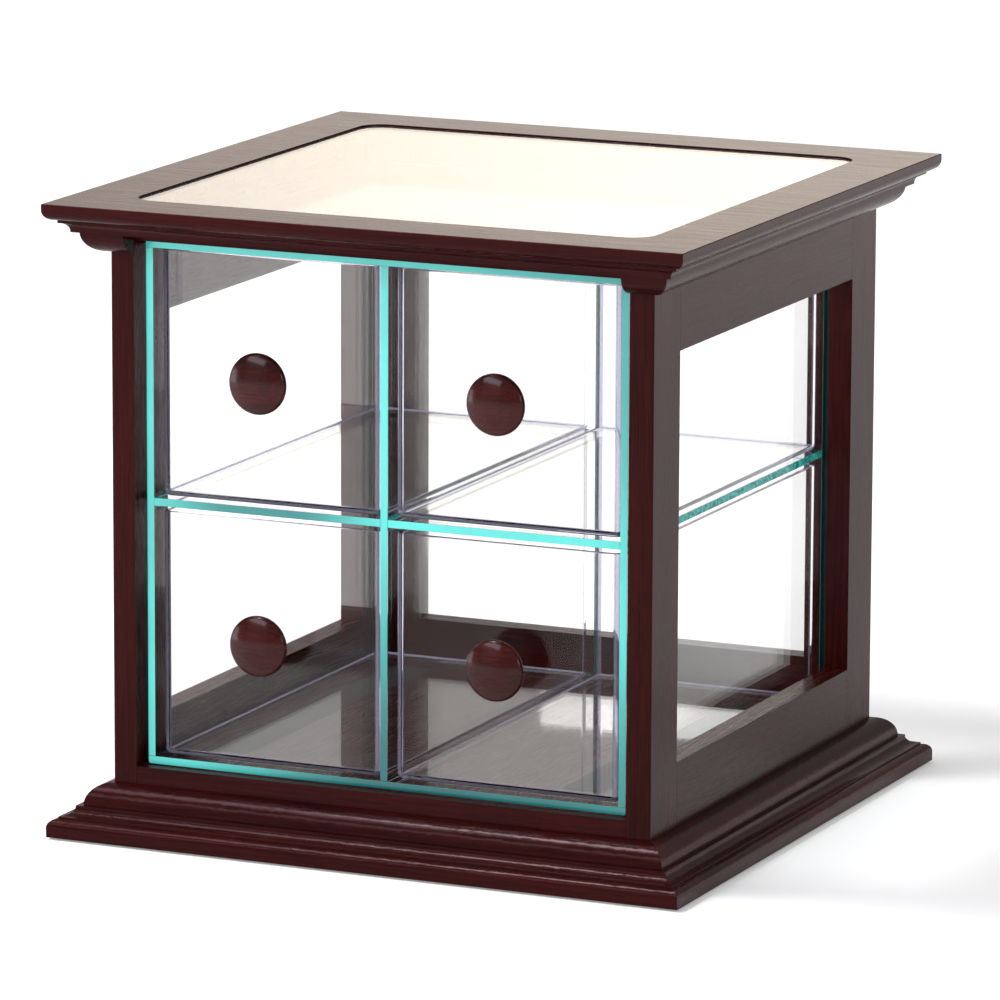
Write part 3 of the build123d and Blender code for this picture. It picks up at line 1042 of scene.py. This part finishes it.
class BREADBIN_OT_knobs(Operator):
    """Turn and lacquer the four knobs"""

    bl_idname = "breadbin.knobs"
    bl_label = "Make Knobs"

    seat: length_setting("Seat", "Clearance between a knob's collar and its bin", 0.00005)

    def rings(self, radius, height, settings):
        """(radius, distance from the bin) of each ring of the knob, from its collar to its top."""
        made = []
        inner = radius - settings.lip
        rise = settings.rim_out - settings.collar_height
        sweep = ((inner - settings.collar_radius) ** 2 + rise**2) / (2 * rise)
        start = math.asin((inner - settings.collar_radius) / sweep)
        if rise > sweep:
            start = math.pi - start
        for step in range(1, HOLLOW_STEPS + 1):
            turn = start * (1 - step / HOLLOW_STEPS)
            made.append((inner - sweep * math.sin(turn), settings.rim_out - sweep * (1 - math.cos(turn))))
        for step in range(1, LIP_STEPS + 1):
            turn = math.pi / 2 * step / LIP_STEPS
            made.append(
                (
                    inner + settings.lip * math.sin(turn),
                    settings.rim_out + settings.lip * (1 - math.cos(turn)),
                )
            )
        middle = height - settings.dome_radius
        inset = radius - settings.shoulder
        reach = settings.dome_radius - settings.shoulder
        shoulder_level = middle + math.sqrt(reach**2 - inset**2)
        lean = math.asin(inset / reach)
        for step in range(SHOULDER_STEPS + 1):
            turn = (math.pi / 2 - lean) * step / SHOULDER_STEPS
            made.append(
                (
                    inset + settings.shoulder * math.cos(turn),
                    shoulder_level + settings.shoulder * math.sin(turn),
                )
            )
        for step in range(1, DOME_STEPS):
            turn = lean * (1 - step / DOME_STEPS)
            made.append(
                (settings.dome_radius * math.sin(turn), middle + settings.dome_radius * math.cos(turn))
            )
        return made

    def turn_knob(self, name, lowest, highest, settings):
        """Extrude and scale ring after ring from the collar, as a lathe cuts the profile."""
        axis = (lowest + highest) / 2
        bin_front = highest.y
        radius = (highest.x - lowest.x) / 2
        back = Vector((axis.x, bin_front - self.seat, axis.z))
        front = Vector((axis.x, bin_front - settings.collar_height, axis.z))
        knob = add_cylinder(name, settings.collar_radius, back, front, settings.turns)
        width, out = settings.collar_radius, settings.collar_height
        with editing(knob):
            pick_faces(knob, lambda face: face.normal.y < -0.9)
            for next_width, next_out in self.rings(radius, highest.y - lowest.y, settings):
                bpy.ops.mesh.extrude_region_move(
                    TRANSFORM_OT_translate={"value": (0, out - next_out, 0)}
                )
                centre = Vector((axis.x, bin_front - next_out, axis.z))
                bpy.ops.transform.resize(value=grey(next_width / width), center_override=centre)
                width, out = next_width, next_out
            bpy.ops.mesh.poke(offset=highest.y - lowest.y - out)
        smooth_over(knob)
        return knob

    def execute(self, context):
        settings = context.scene.bread_bin.knobs
        lacquer = stained_wood(
            "knob_lacquer",
            "X",
            settings.dark_stain,
            settings.light_stain,
            roughness=0.26,
            pore_depth=0.05,
            coat=0.3,
            coat_roughness=0.12,
            gleam=(1.0, 0.60, 0.66),
        )
        first = "knob_lower_left"
        home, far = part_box(first)
        master = self.turn_knob("knob_master", home, far, settings)
        coat_with(master, lacquer)
        for row in ROWS:
            for side in SIDES:
                node = f"knob_{row}_{side}"
                knob = copy_to(master, f"{node}_turned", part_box(node)[0] - home)
                settle(knob, f"bin_{row}_{side}", "knob_lacquer", node)
        bpy.data.objects.remove(master)
        return {"FINISHED"}


class BREADBIN_OT_screws(Operator):
    """Make the pan-head screws of the knobs and the deck cleats"""

    bl_idname = "breadbin.screws"
    bl_label = "Make Screws"

    def make_screw(self, name, head_radius, head_height, length, settings):
        """A screw along +Y: its head's seat is at the origin and its head stands on the -Y side."""
        top = Vector((0, -head_height, 0))
        screw = add_cylinder(name, head_radius, top, Vector((0, 0, 0)))
        with editing(screw):
            pick_edges(screw, lambda edge: all_at(edge, 1, -head_height))
            bpy.ops.mesh.bevel(offset=settings.head_round, segments=4, affect="EDGES")
            pick_faces(screw, lambda face: face.normal.y > 0.9)
            bpy.ops.mesh.inset(thickness=head_radius - settings.shank_radius, depth=0)
            bpy.ops.mesh.extrude_region_move(TRANSFORM_OT_translate={"value": (0, length, 0)})
        arm = Vector((settings.recess_length, 2 * settings.recess_depth, settings.recess_width)) / 2
        for half in (arm, Vector((arm.z, arm.y, arm.x))):
            cut_away(screw, add_block("cross_arm", top - half, top + half))
        smooth_over(screw)
        return screw

    def execute(self, context):
        settings = context.scene.bread_bin.screws
        wall = context.scene.bread_bin.bins.wall
        steel = zinc_plate()
        lowest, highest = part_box("knob_screw_lower_left")
        head_radius = (highest.x - lowest.x) / 2
        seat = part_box("bin_lower_left")[0].y + wall
        head_height = highest.y - seat
        clearance = 5e-5
        length = seat - lowest.y
        master = self.make_screw("screw_master", head_radius, head_height - clearance, length, settings)
        coat_with(master, steel)
        for row in ROWS:
            for side in SIDES:
                node = f"knob_screw_{row}_{side}"
                low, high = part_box(node)
                middle = (low + high) / 2
                screw = copy_to(master, f"{node}_pan_head", Vector((0, 0, 0)))
                place = Matrix.Translation((middle.x, seat + clearance, middle.z))
                screw.data.transform(place @ Matrix.Rotation(math.pi, 4, "Z"))
                settle(screw, f"bin_{row}_{side}", "screw_steel", node)

        step = settings.cleat_spacing / 2
        faces = {
            "left": (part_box("deck_cleat_left")[1].x, 0, math.pi / 2),
            "right": (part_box("deck_cleat_right")[0].x, 0, -math.pi / 2),
            "back": (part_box("deck_cleat_back")[0].y, 1, 0.0),
        }
        made = []
        for side, (face, axis, turn) in faces.items():
            low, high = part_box(f"deck_cleat_{side}")
            for offset in (-step, step):
                place = Vector((face, offset, 0)) if axis == 0 else Vector((offset, face, 0))
                place.z = (low.z + high.z) / 2
                screw = copy_to(master, "cleat_screw", Vector((0, 0, 0)))
                screw.data.transform(Matrix.Translation(place) @ Matrix.Rotation(turn, 4, "Z"))
                made.append(screw)
        deselect_all()
        for screw in made:
            screw.select_set(True)
        context.view_layer.objects.active = made[0]
        bpy.ops.object.join()
        made[0].name = made[0].data.name = "cleat_screws_pan_heads"
        settle(made[0], BODY, "screw_steel", "cleat_screws")
        bpy.data.objects.remove(master)
        return {"FINISHED"}


class BREADBIN_OT_feet(Operator):
    """Mould the rubber feet and give the tapes under the clear box their foam"""

    bl_idname = "breadbin.feet"
    bl_label = "Make Feet and Tapes"

    taper: length_setting("Taper", "How much smaller a foot's radius is where it meets the counter", 0.0015)
    rounding: length_setting("Rounding", "Radius of a foot's lower edge", 0.001)

    def execute(self, context):
        rubber = matt_black("foot_rubber", 0.035, 0.018, 700.0, 0.75, 0.3)
        for node in FEET:
            lowest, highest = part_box(node)
            radius = (highest.x - lowest.x) / 2
            middle = (lowest + highest) / 2
            bottom = Vector((middle.x, middle.y, lowest.z))
            top = Vector((middle.x, middle.y, highest.z))
            foot = add_cylinder(f"{node}_pad", radius, bottom, top)
            with editing(foot):
                pick_faces(foot, lambda face: face.normal.z < -0.9)
                bpy.ops.transform.resize(value=grey(1 - self.taper / radius), center_override=bottom)
                pick_edges(foot, lambda edge: all_at(edge, 2, lowest.z))
                bpy.ops.mesh.bevel(offset=self.rounding, segments=4, affect="EDGES")
                pick_faces(foot, lambda face: face.normal.z < -0.99 and len(face.verts) > 4)
                bpy.ops.mesh.inset(thickness=radius / 3, depth=0)
                bpy.ops.mesh.inset(thickness=self.rounding, depth=-self.rounding)
            smooth_over(foot)
            coat_with(foot, rubber)
            settle(foot, BODY, "foot_rubber", node)
        foam = matt_black("foam_tape", 0.05, 0.02, 1600.0, 0.9, 0.5)
        for node in TAPES:
            coat_with(frame["nodes"][node], foam)
        return {"FINISHED"}


# ------------------------------------------------------------------------------ stage
class BREADBIN_OT_stage(Operator):
    """Set up the floor, the room light, the softboxes and the camera"""

    bl_idname = "breadbin.stage"
    bl_label = "Set Stage"

    fade: FloatProperty(
        name="Fade",
        description="Brightness of the rear softbox at its left end, of that at its right end",
        default=0.4,
        min=0.0,
        max=1.0,
    )

    def seen_rays(self, tree):
        """Socket: 1 for rays that show the background, straight on, through clear parts or mirrored."""
        ray = add_node(tree, "ShaderNodeLightPath")
        looked = add_node(
            tree,
            "ShaderNodeMath",
            {0: ray.outputs["Is Camera Ray"], 1: ray.outputs["Is Transmission Ray"]},
            operation="MAXIMUM",
        )
        shown = add_node(
            tree,
            "ShaderNodeMath",
            {0: looked.outputs[0], 1: ray.outputs["Is Glossy Ray"]},
            operation="MAXIMUM",
        )
        lit = add_node(
            tree, "ShaderNodeMath", {0: ray.outputs["Diffuse Depth"], 1: 0.5}, operation="GREATER_THAN"
        )
        seen = add_node(
            tree,
            "ShaderNodeMath",
            {0: shown.outputs[0], 1: lit.outputs[0]},
            operation="SUBTRACT",
            use_clamp=True,
        )
        return seen.outputs[0]

    def room(self, context, stage):
        """A room with an even light, the same for every kind of ray."""
        world = bpy.data.worlds.new("room")
        context.scene.world = world
        world.use_nodes = True
        tree = world.node_tree
        tree.nodes.clear()
        glow = add_node(tree, "ShaderNodeBackground", {"Color": (1, 1, 1, 1), "Strength": stage.room_level})
        out = add_node(tree, "ShaderNodeOutputWorld")
        tree.links.new(glow.outputs[0], out.inputs["Surface"])

    def floor(self, stage):
        """A pale floor that keeps the shadow and shows white."""
        deselect_all()
        bpy.ops.mesh.primitive_grid_add(x_subdivisions=8, y_subdivisions=8, size=stage.floor_size)
        floor = bpy.context.active_object
        floor.name = floor.data.name = "studio_floor"
        material, tree, output = new_material("studio_floor")
        place = add_node(tree, "ShaderNodeTexCoord")
        reach = add_node(tree, "ShaderNodeVectorMath", {0: place.outputs["Object"]}, operation="LENGTH")
        surface = add_node(
            tree,
            "ShaderNodeBsdfPrincipled",
            {"Base Color": (*stage.floor_colour, 1.0), "Roughness": 0.7, "Specular IOR Level": 0.1},
        )
        rise = add_node(
            tree,
            "ShaderNodeMapRange",
            {
                "Value": reach.outputs["Value"],
                "From Min": 0.4,
                "From Max": 1.6,
                "To Min": stage.near_lift,
                "To Max": stage.far_lift,
            },
        )
        shown = add_node(
            tree, "ShaderNodeMath", {0: rise.outputs[0], 1: self.seen_rays(tree)}, operation="MULTIPLY"
        )
        lift = add_node(tree, "ShaderNodeEmission", {"Strength": shown.outputs[0]})
        total = add_node(tree, "ShaderNodeAddShader", {0: surface.outputs[0], 1: lift.outputs[0]})
        tree.links.new(total.outputs[0], output.inputs["Surface"])
        coat_with(floor, material)

    def softbox(self, name, place, target, size, power, colour=(1.0, 1.0, 1.0)):
        """A rectangular softbox that faces a point."""
        deselect_all()
        bpy.ops.object.light_add(type="AREA", location=place)
        lamp = bpy.context.active_object
        lamp.name = lamp.data.name = name
        lamp.data.shape = "RECTANGLE"
        lamp.data.size, lamp.data.size_y = size
        lamp.data.energy = power
        lamp.data.color = colour
        lamp.rotation_euler = (Vector(target) - Vector(place)).to_track_quat("-Z", "Y").to_euler()
        lamp.visible_camera = False
        lamp.visible_transmission = False
        return lamp

    def fade_across(self, lamp, least):
        """Dim a softbox evenly towards its left end."""
        lamp.data.use_nodes = True
        tree = lamp.data.node_tree
        tree.nodes.clear()
        spot = add_node(tree, "ShaderNodeNewGeometry")
        ends = add_node(tree, "ShaderNodeSeparateXYZ", {0: spot.outputs["Parametric"]})
        level = add_node(
            tree, "ShaderNodeMapRange", {"Value": ends.outputs["X"], "To Min": 1.0, "To Max": least}
        )
        glow = add_node(tree, "ShaderNodeEmission", {"Strength": level.outputs[0]})
        out = add_node(tree, "ShaderNodeOutputLight")
        tree.links.new(glow.outputs[0], out.inputs["Surface"])

    def camera(self, context, stage):
        """The camera, turned by its yaw, tilt and roll."""
        deselect_all()
        bpy.ops.object.camera_add(location=stage.camera_place)
        camera = bpy.context.active_object
        camera.name = camera.data.name = "studio_camera"
        yaw, tilt, roll = stage.camera_turn
        turn = (
            Matrix.Rotation(yaw, 4, "Z")
            @ Matrix.Rotation(math.pi / 2 - tilt, 4, "X")
            @ Matrix.Rotation(roll, 4, "Z")
        )
        camera.rotation_euler = turn.to_euler()
        camera.data.sensor_width = 36.0
        camera.data.lens = stage.lens
        camera.data.clip_end = 100.0
        context.scene.camera = camera

    def execute(self, context):
        stage = context.scene.bread_bin.stage
        lowest, highest = cad_box
        middle = (lowest + highest) / 2
        self.room(context, stage)
        self.floor(stage)
        ahead = Vector((0, REAR, 0))
        warm = (1.0, 0.86, 0.70)
        ivory = (1.0, 0.94, 0.88)
        blush = (1.0, 0.80, 0.78)
        violet = (0.92, 0.90, 1.0)
        spot = Vector((-0.485, REAR, 0.70))
        behind = self.softbox("softbox_behind", spot, spot - ahead, (0.93, 0.33), 2.0, warm)
        self.fade_across(behind, self.fade)
        spot = Vector((-0.485, REAR, 0.475))
        low = self.softbox("softbox_behind_low", spot, spot - ahead, (0.93, 0.11), 0.35, ivory)
        spot = Vector((-0.33, REAR, 0.285))
        card = self.softbox("card_behind", spot, spot - ahead, (0.26, 0.10), 0.12)
        self.softbox("softbox_overhead", (-0.9, -0.5, 2.2), middle, (1.0, 0.8), 18.0, violet)
        self.softbox("softbox_key", (-0.75, -0.45, 2.1), middle, (0.42, 0.30), 18.0)
        self.softbox("softbox_front", (-1.05, -2.0, 1.75), middle, (1.7, 0.45), 16.0, violet)
        self.softbox("card_front", (-0.62, -1.55, 0.62), (0.0, 0.0, 0.40), (1.2, 1.0), 1.5, blush)
        self.softbox("card_left", (-2.0, -0.75, 0.30), middle, (0.6, 0.6), 5.0, violet)
        self.softbox("card_right", (1.15, 1.96, 0.15), middle, (1.0, 0.30), 0.9, blush)
        self.softbox("strip_right", (1.9, -1.3, 0.75), middle, (0.12, 0.6), 7.0)
        fill = self.softbox("fill_front", (-1.2, -3.2, 1.5), middle, (1.6, 1.6), 26.0)
        for lamp in (behind, low, card):
            lamp.visible_transmission = True
        fill.visible_glossy = False
        self.camera(context, stage)
        context.scene.view_settings.view_transform = "Standard"
        context.scene.cycles.transmission_bounces = 24
        context.scene.cycles.transparent_max_bounces = 32
        context.scene.cycles.max_bounces = 32
        return {"FINISHED"}


class BREADBIN_PT_pieces(Panel):
    """The pieces of the bread display bin"""

    bl_idname = "BREADBIN_PT_pieces"
    bl_label = "Bread Display Bin"
    bl_space_type = "VIEW_3D"
    bl_region_type = "UI"
    bl_category = "Bread Bin"

    def draw(self, context):
        settings = context.scene.bread_bin
        groups = {
            "wood": [BREADBIN_OT_wood],
            "sheets": [BREADBIN_OT_sheets, BREADBIN_OT_pane],
            "bins": [BREADBIN_OT_bins],
            "knobs": [BREADBIN_OT_knobs],
            "screws": [BREADBIN_OT_screws, BREADBIN_OT_feet],
            "stage": [BREADBIN_OT_stage],
        }
        for part, operators in groups.items():
            box = self.layout.box()
            chosen = getattr(settings, part)
            for name in chosen.__annotations__:
                box.prop(chosen, name)
            for operator in operators:
                box.operator(operator.bl_idname)


CLASSES = (
    WoodFinish,
    SheetFinish,
    BinMoulding,
    KnobTurning,
    ScrewSizes,
    StudioStage,
    BreadBinSettings,
    BREADBIN_OT_wood,
    BREADBIN_OT_sheets,
    BREADBIN_OT_pane,
    BREADBIN_OT_bins,
    BREADBIN_OT_knobs,
    BREADBIN_OT_screws,
    BREADBIN_OT_feet,
    BREADBIN_OT_stage,
    BREADBIN_PT_pieces,
)


def register():
    for made in CLASSES:
        bpy.utils.register_class(made)
    bpy.types.Scene.bread_bin = PointerProperty(type=BreadBinSettings)


def unregister():
    del bpy.types.Scene.bread_bin
    for made in reversed(CLASSES):
        bpy.utils.unregister_class(made)


def main():
    register()
    bpy.ops.breadbin.stage()
    bpy.ops.breadbin.wood()
    bpy.ops.breadbin.sheets()
    bpy.ops.breadbin.pane()
    bpy.ops.breadbin.bins()
    bpy.ops.breadbin.knobs()
    bpy.ops.breadbin.screws()
    bpy.ops.breadbin.feet()


if __name__ == "__main__":
    main()
